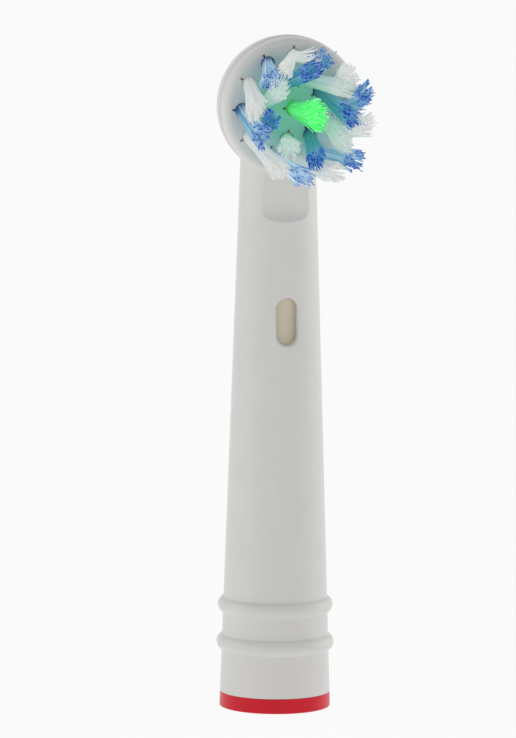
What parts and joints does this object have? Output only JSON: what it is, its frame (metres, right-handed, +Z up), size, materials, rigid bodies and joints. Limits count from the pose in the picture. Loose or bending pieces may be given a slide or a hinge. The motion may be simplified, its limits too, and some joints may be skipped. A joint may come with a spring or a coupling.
{
  "type": "electric toothbrush head",
  "caption": "Replacement brush head for an electric toothbrush: tapering neck, round cup and a bristle disc rocked on its axle by a crank shaft inside the neck.",
  "frame": {"origin": "centre of the foot's lower face, on the handle socket's axis", "axes": "+Z up the neck, away from the handle; -Y is the way the bristles point; +X to the right seen from the bristle side"},
  "size_m": [0.0164, 0.0215, 0.0793],
  "materials": {
    "white_plastic": "smooth, slightly glossy white moulding",
    "red_plastic": "smooth red moulding",
    "natural_plastic": "unpigmented moulding, ivory",
    "disc_plastic": "smooth white moulding",
    "spring_steel": "bright spring strip",
    "pin_steel": "ground pin",
    "anchor_brass": "dull strip",
    "white_bristle": "white nylon filaments",
    "blue_bristle": "blue nylon filaments",
    "green_bristle": "bright green nylon filaments"
  },
  "bodies": {
    "housing": {"neck_housing": "white_plastic", "colour_ring": "red_plastic", "retaining_bush": "natural_plastic", "axle_pin": "pin_steel", "lock_pin": "pin_steel"},
    "drive": {"drive_shaft": "natural_plastic", "shaft_clip": "spring_steel", "crank_pin": "pin_steel"},
    "brush": {"brush_disc": "disc_plastic", "tuft_anchors": "anchor_brass", "outer_white_tuft_1": "white_bristle", "outer_blue_tuft_1": "blue_bristle", "outer_white_tuft_2": "white_bristle", "outer_blue_tuft_2": "blue_bristle", "outer_white_tuft_3": "white_bristle", "outer_blue_tuft_3": "blue_bristle", "outer_white_tuft_4": "white_bristle", "outer_blue_tuft_4": "blue_bristle", "outer_white_tuft_5": "white_bristle", "outer_blue_tuft_5": "blue_bristle", "outer_white_tuft_6": "white_bristle", "outer_blue_tuft_6": "blue_bristle", "inner_white_tuft_1": "white_bristle", "inner_blue_tuft_1": "blue_bristle", "inner_white_tuft_2": "white_bristle", "inner_blue_tuft_2": "blue_bristle", "inner_white_tuft_3": "white_bristle", "inner_blue_tuft_3": "blue_bristle", "inner_white_tuft_4": "white_bristle", "inner_blue_tuft_4": "blue_bristle", "centre_green_tuft": "green_bristle"}
  },
  "joints": [
    {"name": "drive_rock", "type": "hinge", "parent": "housing", "child": "drive", "pos_m": [0, 0, 0.0582], "axis": [0, 0, 1], "range_deg": [-30, 30]},
    {"name": "disc_rock", "type": "hinge", "parent": "housing", "child": "brush", "pos_m": [0, -0.0036, 0.0711], "axis": [0, -1, 0], "range_deg": [-22, 22]}
  ],
  "couplings": [
    {"joint": "disc_rock", "follows": "drive_rock", "ratio": 0.73333}
  ]
}
